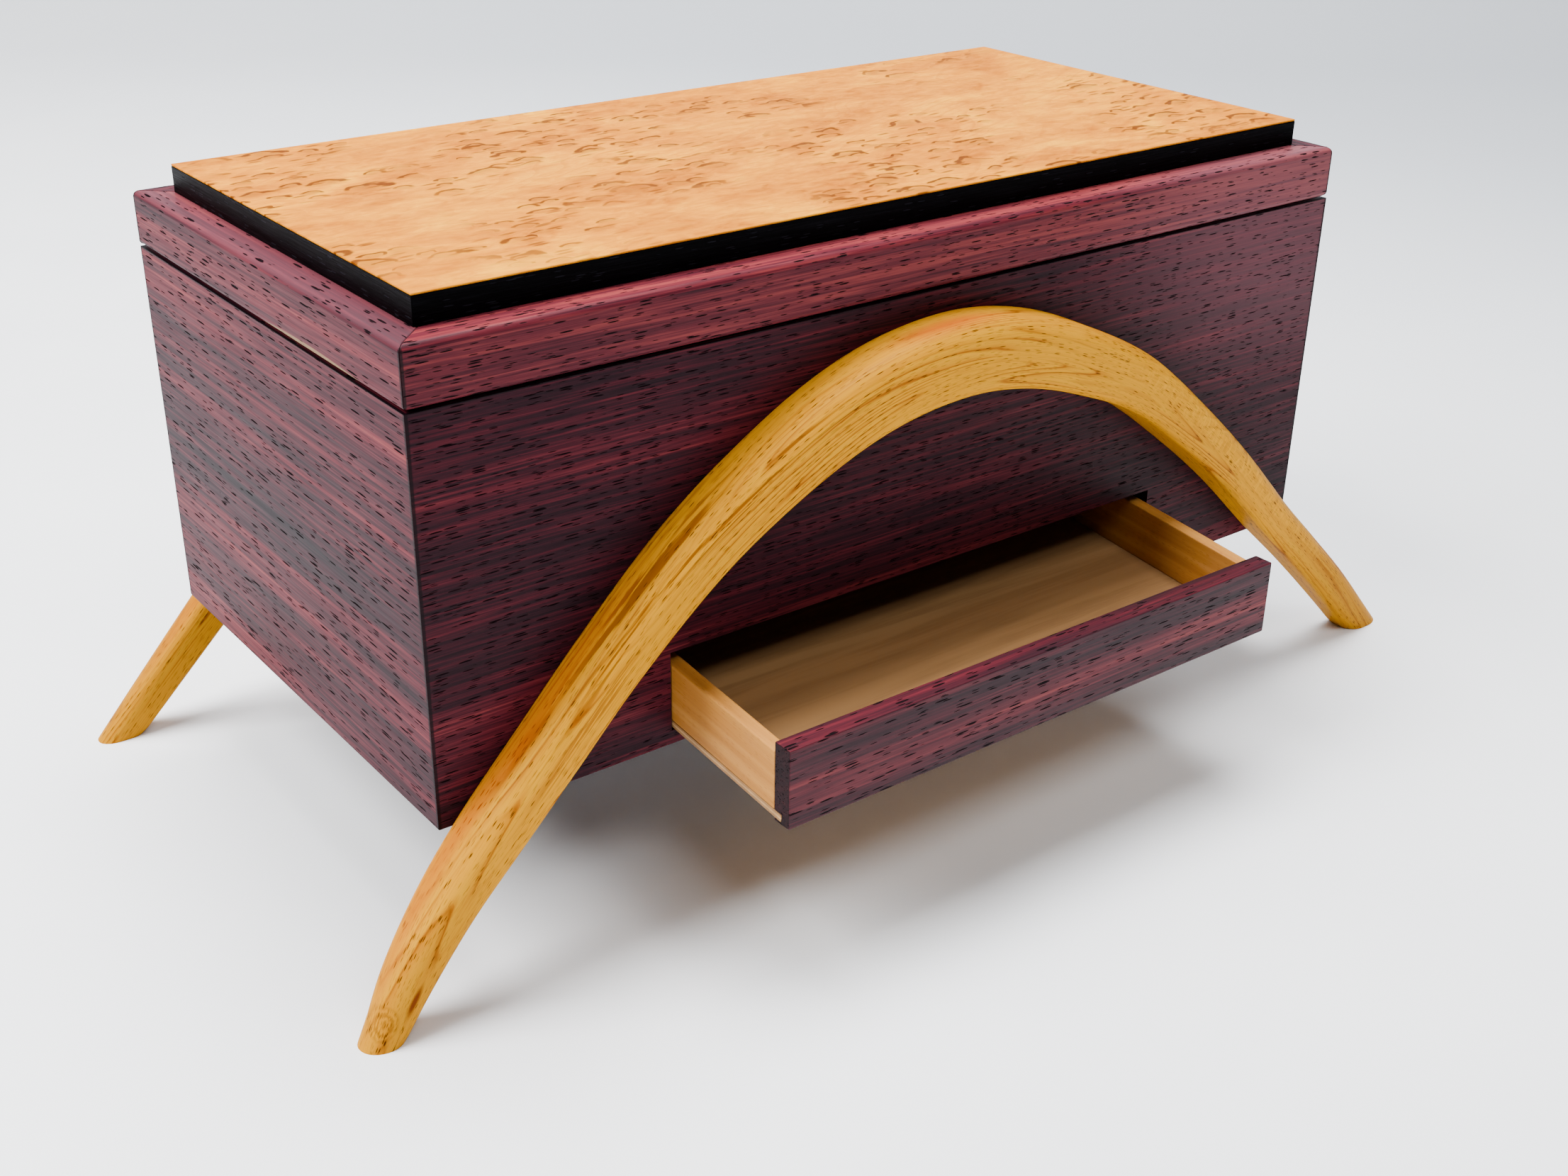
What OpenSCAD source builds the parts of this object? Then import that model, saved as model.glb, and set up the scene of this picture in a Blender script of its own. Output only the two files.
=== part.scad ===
// Wooden puzzle box on two bent arches: a hinged lid above, a hidden drawer below.
// Millimetres. +Z is up, +X runs along the box, the drawer opens towards -Y.
// The origin is on the table under the middle of the box.

/* [Box] */
// Length of the box, along X
box_l = 340; // [320:5:360]
// Width of the box, along Y
box_w = 170; // [165:5:190]
// Height of the body, from its underside to the seam
body_h = 117; // [112:1:140]
// Height of the underside above the table
leg_h = 50; // [45:1:60]
// Thickness of the mitred walls
wall = 12; // [11:1:14]
// Gap between the body and the closed lid
seam_gap = 0.6; // [0.4:0.1:1]

/* [Lid] */
// Height of the lid's frame
lid_h = 16.4; // [14:0.2:20]
// How far the raised plate stands in from the ends of the lid
plate_inset_x = 9; // [7:0.5:10]
// How far the raised plate stands in from the front and back of the lid
plate_inset_y = 10; // [8:0.5:10]
// Height of the raised plate above the frame, with its veneer
plate_h = 8.4; // [6:0.2:12]
// Width of the dark strips round the plate
edging_w = 4; // [3:0.5:6]
// Thickness of the veneers
veneer_t = 0.6; // [0.5:0.1:1]

/* [Drawer] */
// Width of the drawer's window in the front panel
window_w = 192; // [182:1:194]
// Height of the window
window_h = 25; // [24:0.5:26]
// Height of the window's lower edge above the underside of the box
window_z = 4.6; // [4.2:0.1:5]
// Slope of the runners, falling towards the front
tilt = 5.5; // [4:0.5:6]
// Thickness of the drawer's front board
board_t = 6.5; // [5:0.5:7]
// Thickness of the drawer's sides
side_t = 4.6; // [4:0.2:6]
// Length of the drawer's sides, along the slope
tray_l = 130; // [122:1:132]
// How far the drawer stands open in the stored pose
open_rest = 54; // [0:1:80]

/* [Arches] */
// Diameter of the dowels that hold the arches
dowel_d = 6; // [5:0.5:7]

/* [Hidden] */
$fn = 48;
eps = 1; // how far a cutter runs past the face it cuts

// Colours
rosewood = [0.33, 0.09, 0.12];
black_wood = [0.06, 0.06, 0.07];
golden_wood = [0.84, 0.62, 0.2];
burl = [0.9, 0.62, 0.36];
maple = [0.87, 0.7, 0.5];
birch_ply = [0.75, 0.6, 0.42];
brass = [0.8, 0.65, 0.3];
steel = [0.6, 0.6, 0.62];

// Levels and faces of the box
hx = box_l / 2;
hy = box_w / 2;
ix = hx - wall;
iy = hy - wall;
z_seam = leg_h + body_h;
z_lid = z_seam + seam_gap;
z_frame = z_lid + lid_h;

// Bottom panel in its rebate, inner floor in its groove
bottom_t = 4;
rebate = 6;
floor_t = 5;
groove = 4;
z_floor = leg_h + 42;

// Lid plate
plate_x = hx - plate_inset_x;
plate_y = hy - plate_inset_y;
core_x = plate_x - edging_w;
core_y = plate_y - edging_w;
tongue_h = 4;

// Drawer, in a frame that slopes with the runners: its origin is at the closed front board's back
board_w = window_w - 1;
board_h = window_h - 0.6;
z_window = leg_h + window_z;
z_board = z_window + 0.3;
board_back_y = -hy + board_t;
tray_z = z_board + 1;
tray_h = 20.2;
ply_t = 2.2;
back_t = 8;
ply_in_board = 3;
tray_x = board_w / 2;
travel = 89; // from closed to the stops
slide_gap = 0.3;
runner_w = 12;
guide_w = 7;
guide_h = 12;

// Lock pin
pin_r = 1.5;
pin_hole_r = 1.8;
pin_y = board_back_y + (tray_l - back_t / 2) * cos(tilt) - 1.2;
pin_lift = 12;
pin_tip_z = z_floor - 3;
bush_r = 3.5;
flange_r = 6;
flange_t = 1.5;
z_knob = z_floor + floor_t + flange_t + pin_lift;

// Drawer stops, dowels let down through the inner floor
stop_r = 3;
stop_x = 60;
stop_y = board_back_y + (tray_l - back_t - travel) * cos(tilt) - 19 * sin(tilt) - stop_r - slide_gap;
stop_tip_z = z_floor - 17;

// Ejector springs on their pegs
spring_x = 50;
spring_z = tray_z + tray_l * sin(tilt) + tray_h / 2;
spring_l = 30;
spring_r = 4.1;
wire_r = 0.45;
spring_turns = 6;
peg_r = 2.6;
peg_l = 12;
peg_in = 6;

// Hinges
hinge_x = 110;
hinge_l = 30;
leaf_t = 1;
leaf_w = 8;
knuckle_r = 2;
hinge_y = hy + 2.4;
hinge_z = z_seam + seam_gap / 2;
middle_l = 10;
knuckle_gap = 0.3;
pivot_r = 0.9;
pivot_hole_r = 0.95;
screw_y = hy - 4.5;
screw_l = 7;
screw_r = 0.8;
head_r = 1.6;
head_h = 0.8;
screw_xs = [-10, 0, 10];

// Arches, each from its left foot, over the apex, to its right foot. The rear one is the same
// blank turned round, with its left leg shaped a little straighter.
// Each station: x, z, width across the bend, gap to the panel, depth out from the panel,
// and roundness from 0, a crisp section with a flat back, to 1, nearly oval
FRONT_ARCH = [
  [-196, 0, 11, 4.8, 10.8, 0.8],
  [-186.2, 16, 13, 2.2, 13.4, 0.7],
  [-173.2, 33.4, 14, 0.6, 15, 0.5],
  [-158.4, 50, 14.8, 0, 16, 0.35],
  [-140, 69, 14.8, 0, 16, 0.2],
  [-120, 89.5, 15, 0, 16, 0.1],
  [-96, 111, 16.4, 0, 16, 0],
  [-74, 126, 18, 0, 16, 0],
  [-48, 139.5, 20, 0, 16, 0],
  [-24, 147, 21.2, 0, 16, 0],
  [2, 149.3, 21.6, 0, 16, 0],
  [26, 145.8, 21.2, 0, 16, 0],
  [49, 137.8, 20, 0, 16, 0],
  [74, 125.5, 18, 0, 15.6, 0],
  [99, 106.7, 16.2, 0, 15.4, 0],
  [125, 84.5, 14.8, 0, 15, 0.1],
  [151.2, 59, 13.8, 0, 14.6, 0.2],
  [170.4, 41, 13.4, 0.8, 14, 0.35],
  [189.6, 22, 13.4, 2.2, 13.6, 0.45],
  [210.2, 0, 12.6, 3.8, 12.6, 0.6]
];
REAR_ARCH = [
  [-196, 0, 11.2, 8, 10.4, 0.7],
  [-186.6, 10.5, 11.8, 7, 11, 0.6],
  [-173.4, 25.5, 12.2, 5.4, 11.8, 0.45],
  [-160, 41, 12.6, 3.2, 12.8, 0.35],
  [-142.8, 60, 13.4, 1, 14.2, 0.2],
  [-121, 82.5, 14.4, 0, 15, 0.1],
  [-98, 106, 16, 0, 15.6, 0],
  [-74, 125.2, 18, 0, 16, 0],
  [-49, 137.8, 20, 0, 16, 0],
  [-26, 145.8, 21.2, 0, 16, 0],
  [-2, 149.3, 21.6, 0, 16, 0],
  [24, 147, 21.2, 0, 16, 0],
  [48, 139.5, 20, 0, 16, 0],
  [74, 126, 18, 0, 16, 0],
  [96, 111, 16.4, 0, 16, 0],
  [120, 89.5, 15, 0, 16, 0.1],
  [140, 69, 14.8, 0, 16, 0.2],
  [158.4, 50, 14.8, 0, 16, 0.35],
  [173.2, 33.4, 14, 0.6, 15, 0.5],
  [186.2, 16, 13, 2.2, 13.4, 0.7],
  [196, 0, 11, 4.8, 10.8, 0.8]
];
arch_stretch = box_l / 340;
steps = 4; // rings between two stations
corner_steps = 5; // facets round each corner of the section
outer_front_r = [5.5, 6]; // corner radii of the section at roundness 0 and 1
inner_front_r = [3, 6];
back_edge_r = [1, 5.5];
arch_dowel_at = [5, 10, 15]; // stations of either arch that carry a dowel
dowel_in_panel = 7;
dowel_in_arch = 9;

function line_z(y) = tray_z + (y - board_back_y) * tan(tilt);

// Point on a smooth curve through the stations of an arch, in span i at share t
function before(arch, i) = i > 0 ? arch[i - 1] : 2 * arch[0] - arch[1];
function after(arch, i) = i < len(arch) - 1 ? arch[i + 1] : 2 * arch[i] - arch[i - 1];
function curve(arch, i, t) =
  let (a = before(arch, i), b = arch[i], c = arch[i + 1], d = after(arch, i + 1))
  0.5 * (2 * b + (c - a) * t + (2 * a - 5 * b + 4 * c - d) * t * t + (3 * b - a - 3 * c + d) * t * t * t);
function slope(arch, i, t) =
  let (
    p = curve(arch, i, max(t - 0.01, 0)),
    q = curve(arch, i, min(t + 0.01, 1)),
    v = [q[0] - p[0], q[1] - p[1]]
  )
  v / norm(v);

// Rounded section: [distance outwards across the bend, distance out from the panel]
function corner(w, d, r, sx, sy, start) = [
  for (k = [0:corner_steps])
    let (angle = start + 90 * k / corner_steps)
    [sx * (w / 2 - r) + r * cos(angle), d / 2 + sy * (d / 2 - r) + r * sin(angle)]
];
function between(pair, share) = pair[0] + (pair[1] - pair[0]) * min(max(share, 0), 1);
function section(w, d, round) = concat(
  corner(w, d, between(outer_front_r, round), 1, 1, 0),
  corner(w, d, between(inner_front_r, round), -1, 1, 90),
  corner(w, d, between(back_edge_r, round), -1, -1, 180),
  corner(w, d, between(back_edge_r, round), 1, -1, 270)
);

// One ring of points across the arch. The two end rings are cut level, on the table,
// and where the arch is glued on, its back lies on the panel
function place(s, dir, p, level) =
  let (
    x = s[0] - dir[1] * p[0],
    z = s[1] + dir[0] * p[0],
    x_cut = level ? x - dir[0] * z / dir[1] : x
  )
  [x_cut * arch_stretch, -hy - max(s[3], 0) - p[1], level ? 0 : z];
function ring(arch, i, t, level) =
  let (s = curve(arch, i, t), dir = slope(arch, i, t))
  [for (p = section(s[2], s[4], s[5])) place(s, dir, p, level)];

module sweep(rings) {
  n = len(rings[0]);
  m = len(rings);
  points = [for (r = rings) each r];
  sides = [
    for (j = [0:m - 2], k = [0:n - 1])
      let (a = j * n + k, b = j * n + (k + 1) % n)
      each [[a, a + n, b], [b, a + n, b + n]]
  ];
  first = [for (k = [0:n - 1]) k];
  last = [for (k = [n - 1:-1:0]) (m - 1) * n + k];
  polyhedron(points, concat(sides, [first, last]), convexity = 10);
}

module arch_blank(arch) {
  spans = len(arch) - 1;
  rings = concat(
    [ring(arch, 0, 0, true)],
    [for (i = [0:spans - 1], k = [0:steps - 1]) if (i * steps + k > 1) ring(arch, i, k / steps, false)],
    [ring(arch, spans - 1, 1, true)]
  );
  sweep(rings);
}

module arch_dowel_cylinders(arch) {
  for (i = arch_dowel_at)
    translate([arch[i][0] * arch_stretch, -hy - dowel_in_arch, arch[i][1]])
      rotate([-90, 0, 0])
        cylinder(d = dowel_d, h = dowel_in_arch + dowel_in_panel);
}

module doweled_arch(arch) {
  color(golden_wood)
    difference() {
      arch_blank(arch);
      arch_dowel_cylinders(arch);
    }
}

module front_arch() {
  doweled_arch(FRONT_ARCH);
}

module rear_arch() {
  mirror([0, 1, 0]) doweled_arch(REAR_ARCH);
}

module front_arch_dowels() {
  color(maple) arch_dowel_cylinders(FRONT_ARCH);
}

module rear_arch_dowels() {
  color(maple) mirror([0, 1, 0]) arch_dowel_cylinders(REAR_ARCH);
}

// A board mitred at both ends: its outer face is on y = 0, its inner face on y = thickness
module mitred_board(length, thickness, height) {
  linear_extrude(height)
    polygon([
      [-length / 2, 0],
      [length / 2, 0],
      [length / 2 - thickness, thickness],
      [-length / 2 + thickness, thickness]
    ]);
}

module body_wall(length, reach) {
  translate([0, -reach, leg_h])
    difference() {
      mitred_board(length, wall, body_h);
      translate([-length / 2, wall - rebate, -eps])
        cube([length, rebate + eps, bottom_t + eps]);
      translate([-length / 2, wall - groove, z_floor - leg_h])
        cube([length, groove + eps, floor_t]);
    }
}

module front_panel() {
  color(rosewood)
    difference() {
      body_wall(box_l, hy);
      translate([-window_w / 2, -hy - eps, z_window])
        cube([window_w, wall + 2 * eps, window_h]);
      arch_dowel_cylinders(FRONT_ARCH);
    }
}

module back_panel() {
  color(rosewood)
    difference() {
      rotate([0, 0, 180]) body_wall(box_l, hy);
      mirror([0, 1, 0]) arch_dowel_cylinders(REAR_ARCH);
      peg_cylinders();
      for (side = [-1, 1])
        translate([side * hinge_x, 0, 0]) {
          leaf_blank(z_seam - leaf_t, leaf_t + eps);
          screw_shanks(z_seam, -1);
        }
    }
}

module left_panel() {
  color(rosewood) rotate([0, 0, -90]) body_wall(box_w, hx);
}

module right_panel() {
  color(rosewood) rotate([0, 0, 90]) body_wall(box_w, hx);
}

module bottom_panel() {
  color(birch_ply)
    translate([-ix - rebate, -iy - rebate, leg_h])
      cube([2 * (ix + rebate), 2 * (iy + rebate), bottom_t]);
}

module inner_floor() {
  color(maple)
    difference() {
      translate([-ix - groove, -iy - groove, z_floor])
        cube([2 * (ix + groove), 2 * (iy + groove), floor_t]);
      translate([0, pin_y, z_floor - eps])
        cylinder(r = bush_r, h = floor_t + 2 * eps);
      for (side = [-1, 1])
        translate([side * stop_x, stop_y, z_floor - eps])
          cylinder(r = stop_r, h = floor_t + 2 * eps);
    }
}

// A strip along Y whose top follows the slope of the drawer
module sloped_strip(width, rise) {
  z = leg_h + bottom_t;
  rotate([90, 0, 90])
    linear_extrude(width)
      polygon([[-iy, z], [iy, z], [iy, line_z(iy) + rise], [-iy, line_z(-iy) + rise]]);
}

module runner() {
  color(maple) {
    translate([tray_x + slide_gap - runner_w, 0, 0]) sloped_strip(runner_w, -slide_gap);
    translate([tray_x + slide_gap, 0, 0]) sloped_strip(guide_w, guide_h);
  }
}

module runner_right() {
  runner();
}

module runner_left() {
  mirror([1, 0, 0]) runner();
}

module drawer_stops() {
  color(maple)
    for (side = [-1, 1])
      translate([side * stop_x, stop_y, stop_tip_z])
        cylinder(r = stop_r, h = z_floor + floor_t - stop_tip_z);
}

module peg_cylinders() {
  for (side = [-1, 1])
    translate([side * spring_x, iy - peg_l, spring_z])
      rotate([-90, 0, 0])
        cylinder(r = peg_r, h = peg_l + peg_in);
}

module spring_pegs() {
  color(maple) peg_cylinders();
}

// Coil along Y, from the back panel towards the drawer
module coil() {
  rings_per_turn = 14;
  count = spring_turns * rings_per_turn;
  rings = [
    for (k = [0:count])
      let (
        angle = 360 * k / rings_per_turn,
        y = iy - wire_r - 0.05 - (spring_l - 2 * wire_r) * k / count
      )
      [
        for (j = [0:7])
          let (a = -45 * j, r = spring_r + wire_r * cos(a))
          [r * cos(angle), y + wire_r * sin(a), r * sin(angle)]
      ]
  ];
  sweep(rings);
}

module ejector_springs() {
  color(steel)
    for (side = [-1, 1])
      translate([side * spring_x, 0, spring_z]) coil();
}

module pin_bush() {
  color(brass)
    translate([0, pin_y, z_floor])
      difference() {
        union() {
          cylinder(r = bush_r, h = floor_t);
          translate([0, 0, floor_t]) cylinder(r = flange_r, h = flange_t);
        }
        translate([0, 0, -eps]) cylinder(r = pin_r + 0.05, h = floor_t + flange_t + 2 * eps);
      }
}

module lock_pin() {
  color(brass)
    translate([0, pin_y, pin_tip_z])
      cylinder(r = pin_r, h = z_knob + 4 - pin_tip_z);
}

// Turned knob: a waist, then a domed head
module lock_knob() {
  color(black_wood)
    translate([0, pin_y, z_knob])
      rotate_extrude()
        polygon([
          [0, 4], [pin_r, 4], [pin_r, 0], [4.5, 0], [4, 1.5], [3.6, 3], [4.4, 4.4],
          [6.4, 5.6], [7, 7.2], [6.8, 8.8], [5.6, 10.2], [3.4, 11.2], [0, 11.6]
        ]);
}

// Plate of a hinge leaf, on the mitred edge's flat
module leaf_blank(z, height) {
  translate([-hinge_l / 2, hy - leaf_w, z])
    cube([hinge_l, leaf_w + eps, height]);
}

module screw_shanks(z, dir) {
  for (x = screw_xs)
    translate([x, screw_y, dir > 0 ? z : z - screw_l])
      cylinder(r = screw_r, h = screw_l);
}

module knuckle(x, length) {
  translate([x, hinge_y, hinge_z])
    rotate([0, 90, 0])
      cylinder(r = knuckle_r, h = length);
}

module leaf_holes(z, dir) {
  for (x = screw_xs)
    translate([x, screw_y, z])
      mirror([0, 0, dir > 0 ? 1 : 0])
        translate([0, 0, -head_h]) {
          cylinder(r1 = screw_r, r2 = head_r, h = head_h);
          translate([0, 0, -leaf_t]) cylinder(r = screw_r, h = leaf_t + eps / 2);
        }
  translate([-hinge_l, hinge_y, hinge_z])
    rotate([0, 90, 0])
      cylinder(r = pivot_hole_r, h = 2 * hinge_l);
}

module hinge_leaf_body() {
  outer_l = (hinge_l - middle_l) / 2 - knuckle_gap;
  color(brass)
    difference() {
      union() {
        translate([-hinge_l / 2, hy - leaf_w, z_seam - leaf_t]) cube([hinge_l, leaf_w, leaf_t]);
        for (x = [-hinge_l / 2, hinge_l / 2 - outer_l]) {
          translate([x, hy - eps, z_seam - leaf_t]) cube([outer_l, hinge_y - hy + eps, leaf_t]);
          knuckle(x, outer_l);
        }
      }
      leaf_holes(z_seam, -1);
    }
}

module hinge_leaf_lid() {
  color(brass)
    difference() {
      union() {
        translate([-hinge_l / 2, hy - leaf_w, z_lid]) cube([hinge_l, leaf_w, leaf_t]);
        translate([-middle_l / 2, hy - eps, z_lid]) cube([middle_l, hinge_y - hy + eps, leaf_t]);
        knuckle(-middle_l / 2, middle_l);
      }
      leaf_holes(z_lid, 1);
    }
}

module hinge_leaf_body_left() {
  translate([-hinge_x, 0, 0]) hinge_leaf_body();
}

module hinge_leaf_body_right() {
  translate([hinge_x, 0, 0]) hinge_leaf_body();
}

module hinge_leaf_lid_left() {
  translate([-hinge_x, 0, 0]) hinge_leaf_lid();
}

module hinge_leaf_lid_right() {
  translate([hinge_x, 0, 0]) hinge_leaf_lid();
}

module hinge_pins() {
  color(brass)
    for (side = [-1, 1])
      translate([side * hinge_x - hinge_l / 2, hinge_y, hinge_z])
        rotate([0, 90, 0])
          cylinder(r = pivot_r, h = hinge_l);
}

// Countersunk slotted screws, heads flush with the leaf at level z, points in direction dir
module screws(z, dir) {
  color(brass)
    for (side = [-1, 1], x = screw_xs)
      translate([side * hinge_x + x, screw_y, z])
        mirror([0, 0, dir > 0 ? 1 : 0])
          difference() {
            union() {
              translate([0, 0, -head_h]) cylinder(r1 = screw_r, r2 = head_r, h = head_h);
              translate([0, 0, -screw_l]) cylinder(r = screw_r, h = screw_l - head_h + 0.01);
            }
            translate([-head_r, -0.2, -0.4]) cube([2 * head_r, 0.4, 1]);
          }
}

module hinge_screws_body() {
  screws(z_seam, -1);
}

module hinge_screws_lid() {
  screws(z_lid, 1);
}

module lid_rail(length, reach) {
  translate([0, -reach, z_lid]) mitred_board(length, wall, lid_h);
}

module lid_front_rail() {
  color(rosewood) lid_rail(box_l, hy);
}

module lid_back_rail() {
  color(rosewood)
    difference() {
      rotate([0, 0, 180]) lid_rail(box_l, hy);
      for (side = [-1, 1])
        translate([side * hinge_x, 0, 0]) {
          leaf_blank(z_lid - eps, leaf_t + eps);
          screw_shanks(z_lid, 1);
        }
    }
}

module lid_left_rail() {
  color(rosewood) rotate([0, 0, -90]) lid_rail(box_w, hx);
}

module lid_right_rail() {
  color(rosewood) rotate([0, 0, 90]) lid_rail(box_w, hx);
}

module edging(length, reach) {
  color(black_wood)
    translate([0, -reach, z_frame])
      mitred_board(length, edging_w, plate_h - veneer_t);
}

module edging_front() {
  edging(2 * plate_x, plate_y);
}

module edging_back() {
  rotate([0, 0, 180]) edging(2 * plate_x, plate_y);
}

module edging_left() {
  rotate([0, 0, -90]) edging(2 * plate_y, plate_x);
}

module edging_right() {
  rotate([0, 0, 90]) edging(2 * plate_y, plate_x);
}

module lid_core() {
  color(birch_ply) {
    translate([-ix, -iy, z_frame - tongue_h]) cube([2 * ix, 2 * iy, tongue_h]);
    translate([-core_x, -core_y, z_frame - 0.01])
      cube([2 * core_x, 2 * core_y, plate_h - veneer_t + 0.01]);
  }
}

module burl_veneer() {
  color(burl)
    translate([-plate_x, -plate_y, z_frame + plate_h - veneer_t])
      cube([2 * plate_x, 2 * plate_y, veneer_t]);
}

module lining_veneer() {
  color(maple)
    translate([-ix, -iy, z_frame - tongue_h - veneer_t])
      cube([2 * ix, 2 * iy, veneer_t]);
}

// The drawer's own frame: its origin is where the closed tray's underside meets the front board
module tray_frame() {
  translate([0, board_back_y, tray_z])
    rotate([tilt, 0, 0])
      translate([0, -open_rest, 0])
        children();
}

// Moves a closed, upright piece out to the stored pose
module slid_out() {
  translate([0, -open_rest * cos(tilt), -open_rest * sin(tilt)]) children();
}

// Everything behind the closed front board's back face
module behind_board() {
  translate([-hx, board_back_y, 0]) cube([box_l, box_w, z_seam]);
}

module tray_bottom_slab(clear) {
  translate([-tray_x - clear, -ply_in_board, -clear])
    cube([2 * (tray_x + clear), tray_l + ply_in_board, ply_t + 2 * clear]);
}

module drawer_front() {
  color(rosewood)
    difference() {
      slid_out()
        translate([-board_w / 2, -hy, z_board])
          cube([board_w, board_t, board_h]);
      tray_frame() tray_bottom_slab(0.05);
    }
}

module drawer_side(x) {
  color(maple)
    intersection() {
      tray_frame()
        translate([x, -10, ply_t])
          cube([side_t, tray_l + 10, tray_h - ply_t]);
      slid_out() behind_board();
    }
}

module drawer_side_left() {
  drawer_side(-tray_x);
}

module drawer_side_right() {
  drawer_side(tray_x - side_t);
}

module drawer_back() {
  color(maple)
    difference() {
      tray_frame()
        translate([-tray_x + side_t, tray_l - back_t, ply_t])
          cube([2 * (tray_x - side_t), back_t, tray_h - ply_t]);
      slid_out()
        translate([0, pin_y, pin_tip_z - pin_lift - 1])
          cylinder(r = pin_hole_r, h = 30);
    }
}

module drawer_bottom() {
  color(birch_ply)
    tray_frame() tray_bottom_slab(0);
}

front_panel();
back_panel();
left_panel();
right_panel();
bottom_panel();
inner_floor();
runner_left();
runner_right();
drawer_stops();
front_arch();
rear_arch();
front_arch_dowels();
rear_arch_dowels();
spring_pegs();
ejector_springs();
pin_bush();
hinge_leaf_body_left();
hinge_leaf_body_right();
hinge_pins();
hinge_screws_body();
lid_front_rail();
lid_back_rail();
lid_left_rail();
lid_right_rail();
edging_front();
edging_back();
edging_left();
edging_right();
lid_core();
burl_veneer();
lining_veneer();
hinge_leaf_lid_left();
hinge_leaf_lid_right();
hinge_screws_lid();
drawer_front();
drawer_side_left();
drawer_side_right();
drawer_back();
drawer_bottom();
lock_pin();
lock_knob();
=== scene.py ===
"""Looks of a wooden puzzle box: rosewood body and drawer, bent golden arches, burl lid.

Everything is in metres, in the frame's own axes: +X along the box, the drawer opens towards -Y, +Z is up.
"""

import math

import bmesh
import bpy
from mathutils import Matrix, Vector


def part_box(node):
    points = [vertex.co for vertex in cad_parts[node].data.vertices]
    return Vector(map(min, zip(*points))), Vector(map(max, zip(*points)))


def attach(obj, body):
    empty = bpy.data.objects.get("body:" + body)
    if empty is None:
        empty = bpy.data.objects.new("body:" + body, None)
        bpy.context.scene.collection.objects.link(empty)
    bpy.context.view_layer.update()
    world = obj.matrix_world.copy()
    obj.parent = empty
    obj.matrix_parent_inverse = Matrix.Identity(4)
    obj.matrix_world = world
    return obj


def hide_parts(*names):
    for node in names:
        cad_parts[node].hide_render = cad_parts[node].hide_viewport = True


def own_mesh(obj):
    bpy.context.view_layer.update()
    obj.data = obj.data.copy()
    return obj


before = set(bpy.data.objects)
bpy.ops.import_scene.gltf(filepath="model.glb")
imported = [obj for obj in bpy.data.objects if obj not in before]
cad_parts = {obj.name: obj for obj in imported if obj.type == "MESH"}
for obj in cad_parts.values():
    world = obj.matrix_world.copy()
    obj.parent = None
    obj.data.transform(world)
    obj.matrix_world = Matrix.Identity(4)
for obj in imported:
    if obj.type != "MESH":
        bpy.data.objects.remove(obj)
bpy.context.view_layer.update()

MM = 0.001
SHARP = math.radians(30)
TINY = 0.05 * MM
TILT = math.radians(5.5)  # slope of the drawer's runners

panel_low, panel_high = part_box("front_panel")
rail_low, rail_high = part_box("lid_front_rail")
BOX_LEFT, BOX_RIGHT = panel_low.x, panel_high.x
FRONT_Y = panel_low.y
BACK_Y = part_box("back_panel")[1].y
UNDERSIDE_Z, SEAM_Z = panel_low.z, panel_high.z
LID_TOP_Z = rail_high.z


# ---------------------------------------------------------------- camera

CAMERA_AT = (-0.3505, -0.4653, 0.3296)
CAMERA_HEADING = math.radians(37.7)  # from +Y towards +X
CAMERA_PITCH = math.radians(26.67)   # downwards
CAMERA_ROLL = math.radians(0.77)
CAMERA_LENS = 43.09                  # millimetres, as the sensor's width is
SENSOR_WIDTH = 36


def make_camera():
    """The photograph's view: from the left of the front, looking down at the box."""
    heading, pitch, roll = CAMERA_HEADING, CAMERA_PITCH, CAMERA_ROLL
    forward = Vector((
        math.sin(heading) * math.cos(pitch),
        math.cos(heading) * math.cos(pitch),
        -math.sin(pitch),
    ))
    level = Vector((math.cos(heading), -math.sin(heading), 0))
    upright = level.cross(forward)
    right = level * math.cos(roll) + upright * math.sin(roll)
    up = upright * math.cos(roll) - level * math.sin(roll)
    camera = bpy.data.objects.new("camera", bpy.data.cameras.new("camera"))
    camera.data.lens = CAMERA_LENS
    camera.data.sensor_width = SENSOR_WIDTH
    camera.data.clip_start = 0.02
    turn = Matrix((right, up, -forward)).transposed()
    camera.matrix_world = Matrix.Translation(CAMERA_AT) @ turn.to_4x4()
    bpy.context.scene.collection.objects.link(camera)
    bpy.context.scene.camera = camera


# ---------------------------------------------------------------- materials

def tint(red, green, blue):
    """A colour given as it looks on a screen, 0 to 255, as the linear colour that Blender takes."""
    def linear(c):
        c /= 255
        return c / 12.92 if c <= 0.04045 else ((c + 0.055) / 1.055) ** 2.4
    return (linear(red), linear(green), linear(blue), 1)


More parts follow.
